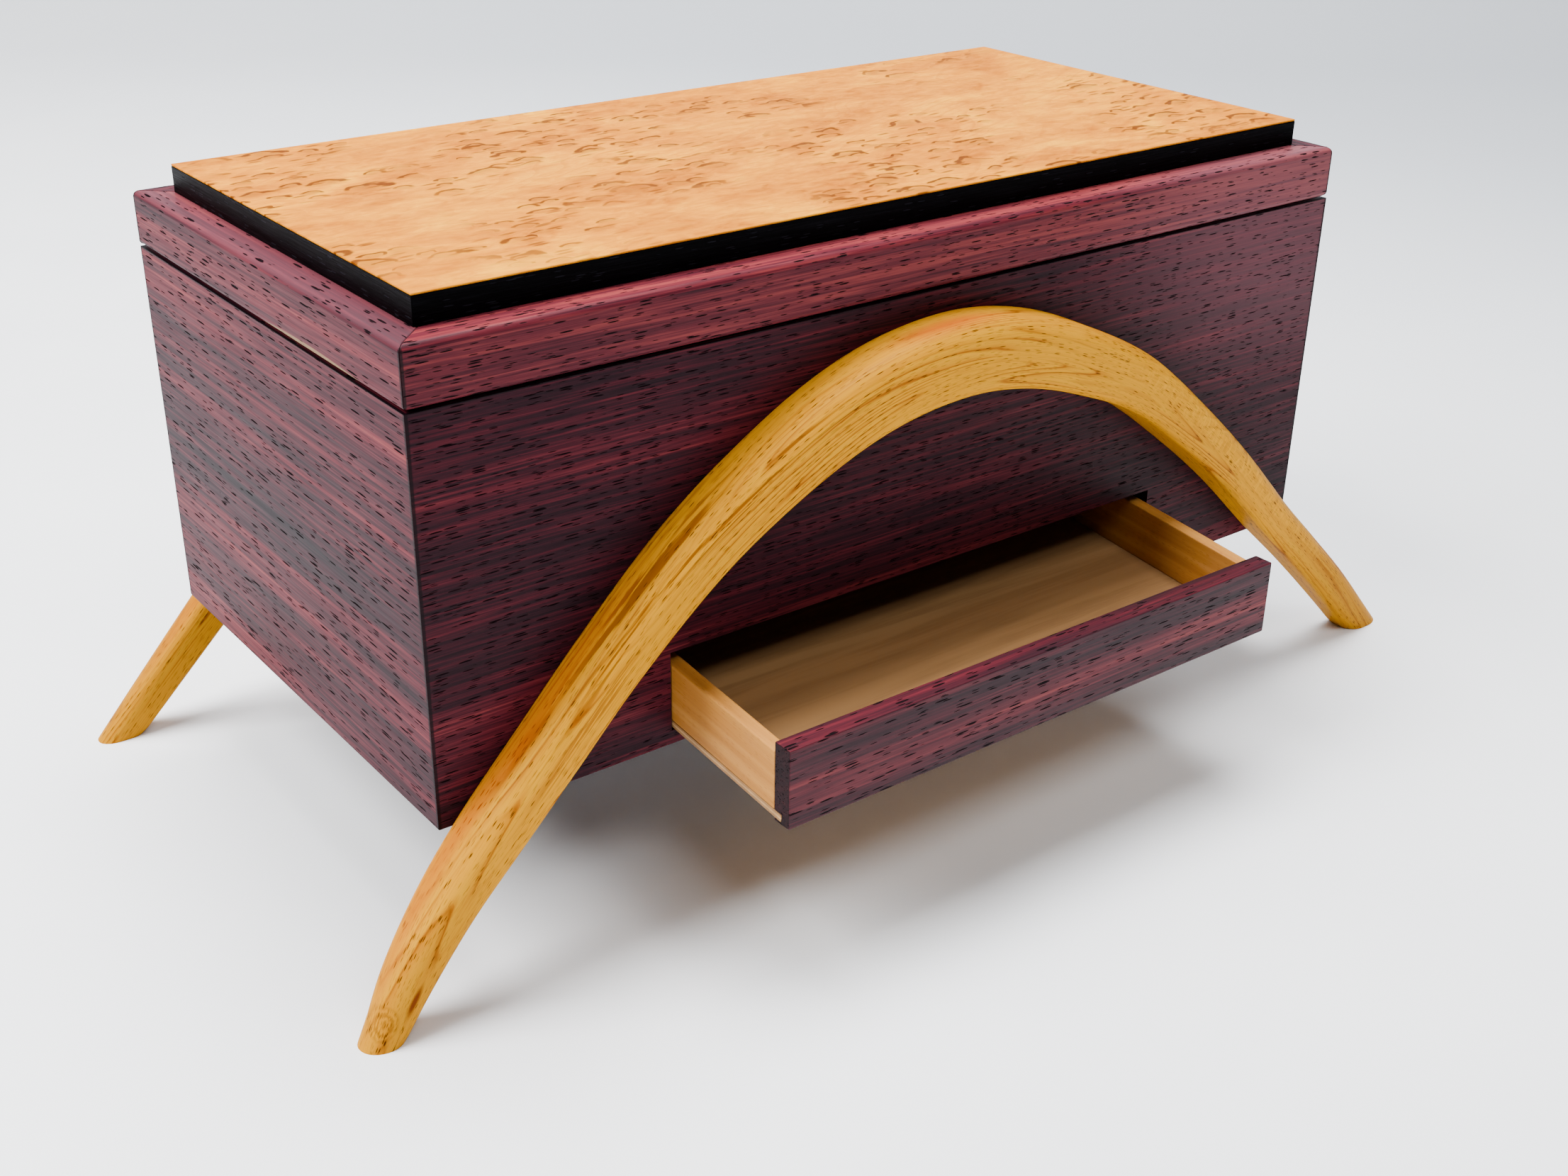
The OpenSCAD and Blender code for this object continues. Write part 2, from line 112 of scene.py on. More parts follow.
class Paint:
    """Builds one material. Each method adds a node or two and returns an output to use further on."""

    def __init__(self, name):
        self.material = bpy.data.materials.new(name)
        self.material.use_nodes = True
        self.tree = self.material.node_tree
        self.shader = self.tree.nodes["Principled BSDF"]

    def add(self, kind, inputs=(), **settings):
        node = self.tree.nodes.new("ShaderNode" + kind)
        for key, value in settings.items():
            setattr(node, key, value)
        for socket, value in dict(inputs).items():
            self.put(node.inputs[socket], value)
        return node

    def put(self, socket, value):
        if isinstance(value, bpy.types.NodeSocket):
            self.tree.links.new(value, socket)
        else:
            socket.default_value = value

    def place(self, size, turn=(0, 0, 0), shift=(0, 0, 0), source=None):
        """Coordinates in which one unit is size, along axes turned by turn and starting at shift."""
        if source is None:
            source = self.add("TexCoord").outputs["Object"]
        inputs = {"Vector": source, "Location": shift, "Rotation": turn, "Scale": size}
        return self.add("Mapping", inputs, vector_type="TEXTURE").outputs["Vector"]

    def named(self, attribute):
        """Coordinates stored in the mesh."""
        return self.add("Attribute", attribute_name=attribute).outputs["Vector"]

    def noise(self, vector, detail=3.0, roughness=0.5, distortion=0.0):
        inputs = {
            "Vector": vector,
            "Scale": 1.0,
            "Detail": detail,
            "Roughness": roughness,
            "Distortion": distortion,
        }
        return self.add("TexNoise", inputs).outputs["Fac"]

    def cells(self, vector, randomness=1.0, dimensions="3D"):
        """Distance to the nearest cell's middle, a random number per cell, and the middle itself."""
        inputs = {"Vector": vector, "Scale": 1.0, "Randomness": randomness}
        node = self.add("TexVoronoi", inputs, voronoi_dimensions=dimensions)
        number = self.add("SeparateColor", {"Color": node.outputs["Color"]}).outputs["Red"]
        return node.outputs["Distance"], number, node.outputs["Position"]

    def dashes(self, vector, edge, bare, strength=1.0, dimensions="3D"):
        """A short mark in each cell whose number is over bare; its rim fades over the distances edge."""
        gap, number, _ = self.cells(vector, dimensions=dimensions)
        return self.times(self.span(gap, *edge, strength, 0), self.span(number, *bare))

    def span(self, value, low, high, to_low=0.0, to_high=1.0, smooth=True):
        """value from low..high, clamped, as to_low..to_high."""
        inputs = {"Value": value, "From Min": low, "From Max": high, "To Min": to_low, "To Max": to_high}
        kind = "SMOOTHSTEP" if smooth else "LINEAR"
        return self.add("MapRange", inputs, interpolation_type=kind).outputs["Result"]

    def ramp(self, value, *stops):
        """A colour from value: each stop is (place, colour)."""
        node = self.add("ValToRGB", {"Fac": value})
        elements = node.color_ramp.elements
        while len(elements) < len(stops):
            elements.new(0.5)
        for element, (place, colour) in zip(elements, stops):
            element.position = place
            element.color = colour
        return node.outputs["Color"]

    def mix(self, share, a, b, blend="MIX"):
        node = self.add("Mix", data_type="RGBA", blend_type=blend)
        for index, value in ((0, share), (6, a), (7, b)):
            self.put(node.inputs[index], value)
        return node.outputs[2]

    def math(self, operation, a, b=0.0):
        return self.add("Math", {0: a, 1: b}, operation=operation).outputs[0]

    def plus(self, a, b):
        return self.math("ADD", a, b)

    def minus(self, a, b):
        return self.math("SUBTRACT", a, b)

    def times(self, a, b):
        return self.math("MULTIPLY", a, b)

    def larger(self, a, b):
        return self.math("MAXIMUM", a, b)

    def size(self, a):
        return self.math("ABSOLUTE", a)

    def part(self, vector, axis):
        return self.add("SeparateXYZ", {"Vector": vector}).outputs[axis]

    def vector(self, operation, a, b):
        node = self.add("VectorMath", {0: a, 1: b}, operation=operation)
        return node.outputs["Value" if operation == "DOT_PRODUCT" else "Vector"]

    def facing(self, direction):
        """How squarely the surface faces along direction, either way: 0 to 1."""
        normal = self.add("TexCoord").outputs["Normal"]
        return self.size(self.vector("DOT_PRODUCT", normal, direction))

    def spot(self, source, middle, size, low=0.5, high=1.0):
        """1 inside an ellipsoid at middle, fading to 0 from low to high of its half axes size."""
        inside = self.vector("MULTIPLY", self.vector("SUBTRACT", source, middle), [1 / s for s in size])
        reach = self.add("VectorMath", {0: inside}, operation="LENGTH").outputs["Value"]
        return self.span(reach, low, high, 1, 0)

    def finish(self, colour, roughness=0.5, height=None, depth=0.1 * MM, **fixed):
        """Plugs everything into the shader: height is a bump, depth metres deep from 0 to 1."""
        self.put(self.shader.inputs["Base Color"], colour)
        self.put(self.shader.inputs["Roughness"], roughness)
        if height is not None:
            bump = self.add("Bump", {"Height": height, "Distance": depth, "Strength": 1.0})
            self.put(self.shader.inputs["Normal"], bump.outputs["Normal"])
        for name, value in fixed.items():
            self.shader.inputs[name.replace("_", " ")].default_value = value
        return self.material


# Which way a board's grain runs
ALONG_X = (0, 0, 0)
ALONG_Y = (0, 0, math.radians(90))
ALONG_Z = (0, math.radians(90), 0)

# A pale streak at the lower edge of the lid's left rail
SAPWOOD_AT = (BOX_LEFT, FRONT_Y + 52 * MM, rail_low.z - 0.6 * MM)
SAPWOOD_SIZE = (3 * MM, 34 * MM, 2.6 * MM)

# Paler, hazy patches, painted on the wood in place of soft shine that the lights don't give: at the top
# right of the front, across the seam, and all along the top of the lid's left rail. Each has its middle,
# size and strength.
FRONT_SHEEN_PATCH = ((BOX_RIGHT, FRONT_Y, SEAM_Z), (130 * MM, 20 * MM, 75 * MM), 0.35)
RAIL_SHEEN_PATCH = ((BOX_LEFT + 6 * MM, 0, LID_TOP_Z), (60 * MM, 300 * MM, 2 * MM), 0.22)

# Marks on the arches, in the grain's own coordinates: along from the left foot, across, out from the panel
APEX_BLUSH_AT = (250 * MM, 10 * MM, 9 * MM)
APEX_BLUSH_SIZE = (26 * MM, 3 * MM, 6 * MM)
SIDE_BLUSH_AT = (318 * MM, 10 * MM, 9 * MM)
SIDE_BLUSH_SIZE = (36 * MM, 3.5 * MM, 6 * MM)
OUTER_EDGE_AT = (80 * MM, 7 * MM, 5 * MM)
OUTER_EDGE_SIZE = (110 * MM, 2.4 * MM, 6 * MM)
FLAME_AT = (160 * MM, 5.5 * MM, 11 * MM)
FLAME_SIZE = (95 * MM, 5.5 * MM, 16 * MM)
OVAL_AT = (100 * MM, 0, 15 * MM)
OVAL_SIZE = (34 * MM, 3.4 * MM, 8 * MM)
RIPPLE_AT = (400 * MM, 3 * MM, 14 * MM)
RIPPLE_SIZE = (110 * MM, 6 * MM, 8 * MM)
KNOT_AT = (6.5 * MM, 4 * MM, 8.5 * MM)
KNOT_SIZE = (6 * MM, 3.6 * MM, 7 * MM)
SCAR_AT = (15 * MM, 0, 12.5 * MM)
SCAR_SIZE = (7 * MM, 1.4 * MM, 5 * MM)

# Rosewood's figure: how strongly its bands, streaks and threads show
FINE = (0.85, 0.85, 0.9)
STRIPED = (1.5, 0.9, 0.5)
BANDED = (1.25, 0.6, 0.7)


def end_grain_and_seam_shade(paint, place, across, reach):
    """How much a board shows its dark end grain: at both ends, and at the very points of a mitre.

    reach is how far the mitre's points lie from the middle, or None. The outer rim of a wall's top is
    painted dark too, as painted shade in the seam, so the seam under the lid is a black line.
    """
    ends = paint.span(paint.facing((0, 1, 0) if across else (1, 0, 0)), 0.55, 0.85, 0, 0.85)
    if reach is None:
        return ends
    along = paint.size(paint.part(place, "Y" if across else "X"))
    point = paint.span(along, reach - 1.1 * MM, reach - 0.7 * MM, 0, 0.85)
    face = BOX_RIGHT if across else BACK_Y
    outwards = paint.size(paint.part(place, "X" if across else "Y"))
    off_seam = paint.size(paint.minus(paint.part(place, "Z"), SEAM_Z))
    # painted shade: a dark outer rim on a wall's top, for the shadow in the seam under the lid
    rim = paint.span(outwards, face - 1.1 * MM, face - 0.8 * MM)
    rim = paint.times(rim, paint.span(off_seam, 0.1 * MM, 0.35 * MM, 1, 0))
    return paint.larger(paint.larger(ends, point), rim)


def rosewood(
    name, turn=ALONG_X, shift=(0, 0, 0), lightness=0.0, gloss=0.08, reach=None,
    figure=FINE, band=17, pores=0.8, sapwood=False, sheen_patch=None,
):
    """Straight-grained dark red wood: black bands and streaks along the board, and open pores.

    reach is how far a mitred board's points lie from the middle. band is the height of the bands and pores
    the spacing of the pores, in millimetres. The last argument is a pale patch of painted sheen, in place of
    shine, such as the one at the top right of the front, or None.
    """
    paint = Paint(name)
    place = paint.add("TexCoord").outputs["Object"]

    def lay(length, height, seed=0.0):
        size = (length * MM, height * 1.6 * MM, height * MM)
        return paint.place(size, turn, (shift[0] + seed, shift[1], shift[2]))

    bands = paint.noise(lay(620, band), 3, 0.6, 0.15)
    streaks = paint.noise(lay(120, 1.9, 0.3), 3, 0.65)
    threads = paint.noise(lay(40, 0.7, 0.7), 3, 0.65)
    tone = paint.times(bands, figure[0])
    tone = paint.plus(tone, paint.times(streaks, figure[1]))
    tone = paint.plus(tone, paint.times(threads, figure[2]))
    middle = sum(figure) / 2 - lightness
    tone = paint.span(tone, middle - 0.42, middle + 0.43, smooth=False)
    colour = paint.ramp(
        tone,
        (0.1, tint(22, 12, 18)),
        (0.34, tint(40, 15, 24)),
        (0.5, tint(62, 17, 28)),
        (0.68, tint(88, 27, 37)),
        (0.95, tint(126, 49, 50)),
    )
    if sapwood:
        pale = paint.spot(place, SAPWOOD_AT, SAPWOOD_SIZE, 0.85, 1.0)
        colour = paint.mix(pale, colour, tint(124, 96, 66))
    # a pale patch of painted sheen, laid on the wood where shine would be
    if sheen_patch:
        middle, size, strength = sheen_patch
        painted_sheen = paint.times(paint.spot(place, middle, size, 0.3, 1.0), strength)
        colour = paint.mix(painted_sheen, colour, tint(126, 84, 92))
    # dark end grain and mitre points, and painted shade along the seam under the lid
    colour = paint.mix(end_grain_and_seam_shade(paint, place, turn == ALONG_Y, reach), colour, tint(13, 4, 8))
    pore = paint.dashes(lay(10 * pores, pores, 0.1), (0.21, 0.28), (0.45, 0.48))
    fine_pore = paint.dashes(lay(6.5 * pores, 0.6 * pores, 0.5), (0.19, 0.28), (0.5, 0.54))
    pore = paint.larger(pore, fine_pore)
    colour = paint.mix(pore, colour, tint(10, 1, 4))
    height = paint.minus(paint.times(threads, 0.2), pore)
    shine = paint.larger(paint.span(threads, 0.3, 0.7, 0.52, 0.42), pore)
    return paint.finish(colour, shine, height, 0.15 * MM, Specular_IOR_Level=gloss)


def knot_rings(paint, grain, fibres):
    """The rings of the little knot at the near foot, fading out round it."""
    inside = paint.place(KNOT_SIZE, (0, 0, 0), KNOT_AT, grain)
    reach = paint.add("VectorMath", {0: inside}, operation="LENGTH").outputs["Value"]
    turns = paint.plus(paint.times(reach, 3.0), paint.times(fibres, 2.0))
    rings = paint.times(paint.span(paint.math("PINGPONG", turns, 0.5), 0.1, 0.45), 0.5)
    return paint.times(rings, paint.span(reach, 0.6, 1.1, 1, 0))


def golden(name, depth=0.0):
    """Golden wood of the arches: growth lines and dark pores follow the bend, ripples cross it.

    It is painted deeper in colour on top of the bend, as painted shade, and it is deeper towards the feet;
    depth is the least it is anywhere, so a high depth is painted shade all over.
    """
    paint = Paint(name)
    grain = paint.named("grain")

    def lay(length, across, seed=0.0):
        return paint.place((length * MM, across * MM, across * 1.3 * MM), (0, 0, 0), (seed, 0, 0), grain)

    field = paint.noise(lay(240, 12), 1, 0.5, 0.1)
    wobble = paint.noise(lay(16, 2.4, 0.3), 2, 0.6)
    rings = paint.plus(paint.times(field, 21.0), paint.times(wobble, 0.3))
    ring = paint.math("FRACT", rings)
    colour = paint.ramp(
        ring,
        (0.0, tint(196, 126, 0)),
        (0.14, tint(224, 158, 0)),
        (0.55, tint(216, 147, 0)),
        (0.8, tint(202, 130, 0)),
        (0.92, tint(150, 82, 0)),
        (0.98, tint(178, 104, 0)),
    )
    calm = paint.noise(lay(70, 7, 0.6), 2, 0.5)
    colour = paint.mix(paint.span(calm, 0.44, 0.6, 0.75, 0), colour, tint(220, 151, 0))

    # a dark flame on the outer side of the left leg, and fine close lines in an oval below it
    flame = paint.span(paint.noise(lay(64, 1.7, 0.15), 3, 0.6, 0.4), 0.5, 0.62)
    flame = paint.times(flame, paint.spot(grain, FLAME_AT, FLAME_SIZE, 0.5, 1.0))
    colour = paint.mix(paint.times(flame, 0.85), colour, tint(118, 54, 0))
    thin_lines = paint.span(paint.noise(lay(22, 0.6, 0.9), 2, 0.6, 0.3), 0.46, 0.58)
    thin_lines = paint.times(thin_lines, paint.spot(grain, OVAL_AT, OVAL_SIZE, 0.4, 1.0))
    colour = paint.mix(paint.times(thin_lines, 0.7), colour, tint(140, 72, 0))

    # fibres all over, pale ripples on the right leg, and dark pores that gather along the growth lines
    fibres = paint.noise(lay(13, 0.35, 0.4), 3, 0.65)
    colour = paint.mix(paint.span(fibres, 0.48, 0.7, 0, 0.4), colour, tint(156, 84, 0))
    ripple = paint.noise(lay(1.3, 5, 0.8), 2, 0.6, 0.8)
    rippled = paint.spot(grain, RIPPLE_AT, RIPPLE_SIZE, 0.4, 1.0)
    shimmer = paint.times(paint.span(ripple, 0.45, 0.65, 0, 0.5), rippled)
    colour = paint.mix(shimmer, colour, tint(244, 176, 10))
    dash = paint.dashes(lay(4, 0.4, 0.6), (0.2, 0.36), (0.3, 0.35))
    dash = paint.times(dash, paint.span(ring, 0.6, 0.8, 0.4, 1))
    colour = paint.mix(dash, colour, tint(78, 34, 0))

    # reddish at the left leg's outer edge and on both sides of the apex; the knot and the scar at the foot
    edge = paint.spot(grain, OUTER_EDGE_AT, OUTER_EDGE_SIZE, 0.2, 1.0)
    colour = paint.mix(paint.times(edge, 0.5), colour, tint(190, 78, 0))
    blush = paint.spot(grain, APEX_BLUSH_AT, APEX_BLUSH_SIZE, 0.1, 1.0)
    side_blush = paint.times(paint.spot(grain, SIDE_BLUSH_AT, SIDE_BLUSH_SIZE, 0.1, 1.0), 0.5)
    colour = paint.mix(paint.larger(blush, side_blush), colour, tint(196, 96, 0))
    colour = paint.mix(knot_rings(paint, grain, fibres), colour, tint(112, 56, 0))
    colour = paint.mix(paint.spot(grain, SCAR_AT, SCAR_SIZE, 0.3, 1.0), colour, tint(124, 56, 2))

    # painted shade: faces that look up are deeper in colour; the feet are deeper too, and depth deepens it
    # all over
    place = paint.add("TexCoord")
    painted_top_shade = paint.span(paint.part(place.outputs["Normal"], "Z"), 0.15, 0.95, depth, 0.95)
    at_foot = paint.span(paint.part(place.outputs["Object"], "Z"), 10 * MM, 80 * MM, 0.65, depth)
    deepening_and_top_shade = paint.larger(painted_top_shade, at_foot)
    colour = paint.mix(deepening_and_top_shade, colour, paint.mix(1.0, colour, tint(204, 200, 200), "MULTIPLY"))
    height = paint.minus(paint.times(fibres, 0.3), dash)
    shine = paint.span(fibres, 0.3, 0.7, 0.52, 0.4)
    return paint.finish(colour, shine, height, 0.08 * MM, Specular_IOR_Level=0.03)


def burl(name):
    """Figured veneer: cloudy orange tan, with clusters of little hooked brown eyes and fine strokes."""
    paint = Paint(name)

    def lay(x, y, seed=0.0, turn=0.0):
        return paint.place((x * MM, y * MM, 1), (0, 0, turn), (seed, 0, 0))

    swirl = paint.add("TexNoise", {"Vector": lay(9, 7, 0.2), "Scale": 1.0, "Detail": 2.0}).outputs["Color"]
    clouds = paint.noise(lay(46, 26, 0, 0.1), 4, 0.6, 0.8)
    mottle = paint.noise(lay(9, 4, 0.3), 4, 0.65, 1.0)
    fibres = paint.noise(lay(5, 0.5, 0.6), 3, 0.6, 0.5)
    group = paint.span(paint.noise(lay(70, 44, 0.92, 0.25), 1, 0.5, 0.3), 0.4, 0.55)
    tone = paint.plus(paint.times(clouds, 0.6), paint.times(mottle, 0.4))
    colour = paint.ramp(
        tone,
        (0.34, tint(150, 80, 0)),
        (0.44, tint(184, 106, 0)),
        (0.54, tint(204, 126, 0)),
        (0.66, tint(222, 150, 0)),
    )
    contours = paint.noise(lay(130, 40, 0.4, 0.15), 1, 0.5, 0.6)
    sweep = paint.math("FRACT", paint.times(contours, 16.0))
    colour = paint.mix(paint.span(sweep, 0.72, 0.95, 0, 0.3), colour, tint(166, 86, 0))

    def eyes(size, seed, share):
        """Hooked rims and dark hearts, one to a cell where the cell's number is over share."""
        bend = paint.vector("MULTIPLY", swirl, (0.6, 0.6, 0))
        bent = paint.vector("ADD", lay(size, size * 0.62, seed, 0.12), bend)
        gap, number, middle = paint.cells(bent, 0.9, "2D")
        away = paint.vector("SUBTRACT", bent, middle)
        lean = paint.vector("DOT_PRODUCT", away, (0.35, 1, 0))
        rim = paint.plus(paint.times(number, 0.2), 0.12)
        off_rim = paint.size(paint.minus(gap, rim))
        hook = paint.times(paint.span(off_rim, 0.035, 0.095, 1, 0), paint.span(lean, -0.06, 0.04))
        shade = paint.times(paint.span(gap, 0.1, 0.38, 0.5, 0), paint.span(mottle, 0.35, 0.6))
        eye = paint.larger(hook, shade)
        return paint.times(eye, paint.span(number, share, share + 0.05))

    mark = paint.larger(eyes(19, 0.0, 0.45), eyes(11, 0.7, 0.5))
    stroke = paint.dashes(lay(11, 2.6, 0.7, 0.12), (0.14, 0.34), (0.7, 0.75), 0.8, "2D")
    mark = paint.times(paint.larger(mark, stroke), paint.larger(group, 0.12))
    colour = paint.mix(paint.times(mark, 0.9), colour, tint(80, 30, 0))
    colour = paint.mix(paint.span(fibres, 0.5, 0.75, 0, 0.25), colour, tint(168, 88, 0))
    shine = paint.span(mottle, 0.3, 0.7, 0.5, 0.4)
    return paint.finish(colour, shine, fibres, 0.02 * MM, Specular_IOR_Level=0.01)


def black_wood(name, turn=ALONG_X):
    """Black hardwood, with a fine grain that shows in the gloss."""
    paint = Paint(name)
    fibres = paint.noise(paint.place((22 * MM, 0.5 * MM, 0.4 * MM), turn), 3, 0.6)
    streaks = paint.noise(paint.place((90 * MM, 3 * MM, 2 * MM), turn), 2)
    colour = paint.mix(paint.span(fibres, 0.45, 0.7), tint(2, 2, 3), tint(9, 9, 13))
    colour = paint.mix(paint.span(streaks, 0.55, 0.7, 0, 0.4), colour, tint(13, 12, 16))
    pore = paint.dashes(paint.place((6 * MM, 0.8 * MM, 0.7 * MM), turn), (0.2, 0.3), (0.55, 0.6))
    colour = paint.mix(pore, colour, tint(24, 24, 30))
    height = paint.minus(fibres, pore)
    shine = paint.span(fibres, 0.3, 0.7, 0.46, 0.32)
    return paint.finish(colour, shine, height, 0.12 * MM, Specular_IOR_Level=0.02)


def maple(name, turn=ALONG_X, shift=(0, 0, 0)):
    """Pale, close-grained wood with faint growth lines and fine flecks."""
    paint = Paint(name)

    def lay(length, height, seed=0.0):
        size = (length * MM, height * MM, height * MM)
        return paint.place(size, turn, (shift[0] + seed, shift[1], shift[2]))

    lines = paint.noise(lay(140, 3.5), 3, 0.55, 0.3)
    fibres = paint.noise(lay(10, 0.4, 0.3), 3, 0.6)
    colour = paint.ramp(
        lines,
        (0.3, tint(160, 102, 38)),
        (0.5, tint(178, 119, 48)),
        (0.7, tint(192, 134, 60)),
    )
    fleck = paint.dashes(lay(2.6, 0.35, 0.7), (0.2, 0.38), (0.6, 0.7), 0.5)
    colour = paint.mix(fleck, colour, tint(136, 78, 26))
    colour = paint.mix(paint.span(fibres, 0.5, 0.75, 0, 0.3), colour, tint(166, 104, 40))
    shine = paint.span(fibres, 0.3, 0.7, 0.6, 0.48)
    return paint.finish(colour, shine, fibres, 0.03 * MM, Specular_IOR_Level=0.2)


def plywood(name, ply, turn=ALONG_X, start=0.0, stained=False):
    """Birch ply, pale or stained: figured faces, and edges that show its layers, each ply metres thick."""
    paint = Paint(name)
    stack = paint.part(paint.place((1, 1, ply), turn, (0, 0, start)), "Z")
    layer = paint.math("PINGPONG", stack, 1.0)
    fibres = paint.noise(paint.place((12 * MM, 0.6 * MM, 0.5 * MM), turn), 3, 0.6)
    figure = paint.noise(paint.place((170 * MM, 9 * MM, 9 * MM), turn), 3, 0.6, 0.5)
    pale, dark, glue = tint(196, 156, 106), tint(158, 118, 74), tint(104, 72, 40)
    if stained:
        pale, dark, glue = tint(52, 30, 22), tint(36, 18, 14), tint(24, 12, 10)
    colour = paint.ramp(layer, (0.42, dark), (0.5, glue), (0.58, pale))
    colour = paint.mix(paint.span(figure, 0.4, 0.62, 0, 0.4), colour, glue)
    colour = paint.mix(paint.span(fibres, 0.45, 0.75, 0, 0.5), colour, dark)
    return paint.finish(colour, 0.6, fibres, 0.05 * MM, Specular_IOR_Level=0.2)


def metal(name, colour, dark, roughness=0.28, grain=(0.3, 6, 0.3)):
    """Drawn or rolled metal: fine lines, and duller patches where it has been handled."""
    paint = Paint(name)
    lines = paint.noise(paint.place([g * MM for g in grain]), 3, 0.6)
    patches = paint.noise(paint.place((5 * MM, 5 * MM, 5 * MM)), 3)
    shade = paint.mix(paint.span(patches, 0.45, 0.7, 0, 0.6), colour, dark)
    shine = paint.span(lines, 0.3, 0.7, roughness, roughness + 0.15)
    shine = paint.plus(shine, paint.span(patches, 0.4, 0.7, 0, 0.1))
    return paint.finish(shade, shine, lines, 0.01 * MM, Metallic=1.0)


# ---------------------------------------------------------------- mesh work

def cad_mesh(node):
    """A CAD node's shape as one closed mesh of whole faces."""
    mesh = bmesh.new()
    mesh.from_mesh(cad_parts[node].data)
    bmesh.ops.remove_doubles(mesh, verts=mesh.verts, dist=1e-6)
    bmesh.ops.dissolve_limit(mesh, angle_limit=math.radians(0.5), verts=mesh.verts, edges=mesh.edges)
    return mesh


def ease(mesh, radius, wanted, segments):
    """Rounds the sharp edges that wanted picks, or all of them."""
    edges = [e for e in mesh.edges if len(e.link_faces) == 2 and e.calc_face_angle() > SHARP]
    if wanted:
        edges = [e for e in edges if wanted(*(v.co for v in e.verts))]
    bmesh.ops.bevel(
        mesh,
        geom=edges,
        offset=radius,
        segments=segments,
        profile=0.5,
        affect="EDGES",
        clamp_overlap=True,
    )


def piece(mesh, name, body, nodes, material, flat=True):
    """Makes an object of a bmesh: it rides on body and stands for the CAD nodes.

    flat shades big faces flat up to their eased edges.
    """
    data = bpy.data.meshes.new(name)
    mesh.to_mesh(data)
    mesh.free()
    data.shade_smooth()
    data.set_sharp_from_angle(angle=math.radians(40))
    obj = bpy.data.objects.new(name, data)
    bpy.context.scene.collection.objects.link(obj)
    data.materials.append(material)
    if flat:
        weighted = obj.modifiers.new("flat faces", "WEIGHTED_NORMAL")
        weighted.keep_sharp = True
    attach(obj, body)
    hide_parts(*nodes)
    return obj


def eased_node(node, body, slot, material, *edges):
    """A CAD node's shape with its edges eased: each of edges is a radius, or a radius and which edges."""
    mesh = cad_mesh(node)
    for edge in edges:
        radius, wanted = edge if isinstance(edge, tuple) else (edge, None)
        ease(mesh, radius, wanted, 4 if radius > 0.5 * MM else 2)
    piece(mesh, node + "_piece", body, [node], material)


# ---------------------------------------------------------------- arches

# Stations of each arch in millimetres: x, z, width across the bend, gap to the panel,
# depth out from the panel, and roundness of the section
FRONT_ARCH = [
    (-196, 0, 11, 4.8, 10.8, 0.8),
    (-186.2, 16, 13, 2.2, 13.4, 0.7),
    (-173.2, 33.4, 14, 0.6, 15, 0.5),
    (-158.4, 50, 14.8, 0, 16, 0.35),
    (-140, 69, 14.8, 0, 16, 0.2),
    (-120, 89.5, 15, 0, 16, 0.1),
    (-96, 111, 16.4, 0, 16, 0),
    (-74, 126, 18, 0, 16, 0),
    (-48, 139.5, 20, 0, 16, 0),
    (-24, 147, 21.2, 0, 16, 0),
    (2, 149.3, 21.6, 0, 16, 0),
    (26, 145.8, 21.2, 0, 16, 0),
    (49, 137.8, 20, 0, 16, 0),
    (74, 125.5, 18, 0, 15.6, 0),
    (99, 106.7, 16.2, 0, 15.4, 0),
    (125, 84.5, 14.8, 0, 15, 0.1),
    (151.2, 59, 13.8, 0, 14.6, 0.2),
    (170.4, 41, 13.4, 0.8, 14, 0.35),
    (189.6, 22, 13.4, 2.2, 13.6, 0.45),
    (210.2, 0, 12.6, 3.8, 12.6, 0.6),
]
REAR_ARCH = [
    (-196, 0, 11.2, 8, 10.4, 0.7),
    (-186.6, 10.5, 11.8, 7, 11, 0.6),
    (-173.4, 25.5, 12.2, 5.4, 11.8, 0.45),
    (-160, 41, 12.6, 3.2, 12.8, 0.35),
    (-142.8, 60, 13.4, 1, 14.2, 0.2),
    (-121, 82.5, 14.4, 0, 15, 0.1),
    (-98, 106, 16, 0, 15.6, 0),
    (-74, 125.2, 18, 0, 16, 0),
    (-49, 137.8, 20, 0, 16, 0),
    (-26, 145.8, 21.2, 0, 16, 0),
    (-2, 149.3, 21.6, 0, 16, 0),
    (24, 147, 21.2, 0, 16, 0),
    (48, 139.5, 20, 0, 16, 0),
    (74, 126, 18, 0, 16, 0),
    (96, 111, 16.4, 0, 16, 0),
    (120, 89.5, 15, 0, 16, 0.1),
    (140, 69, 14.8, 0, 16, 0.2),
    (158.4, 50, 14.8, 0, 16, 0.35),
    (173.2, 33.4, 14, 0.6, 15, 0.5),
    (186.2, 16, 13, 2.2, 13.4, 0.7),
    (196, 0, 11, 4.8, 10.8, 0.8),
]
ARCH_STEPS = 10  # rings between two stations
FOOT_CLEARANCE = 0.8  # rings that reach lower than this give way to the level foot

# Corner radii of the section at roundness 0 and 1, and the points round each corner and along each side
OUTER_FRONT_R = (5.5, 6)
INNER_FRONT_R = (3, 6)
BACK_R = (1, 5.5)
CORNER_STEPS = 8
SIDE_STEPS = 4


def curve_point(a, b, c, d, t):
    """A smooth curve through b and c, at share t between them."""
    return [
        0.5 * (2 * q + (r - p) * t + (2 * p - 5 * q + 4 * r - s) * t**2 + (3 * q - p - 3 * r + s) * t**3)
        for p, q, r, s in zip(a, b, c, d)
    ]


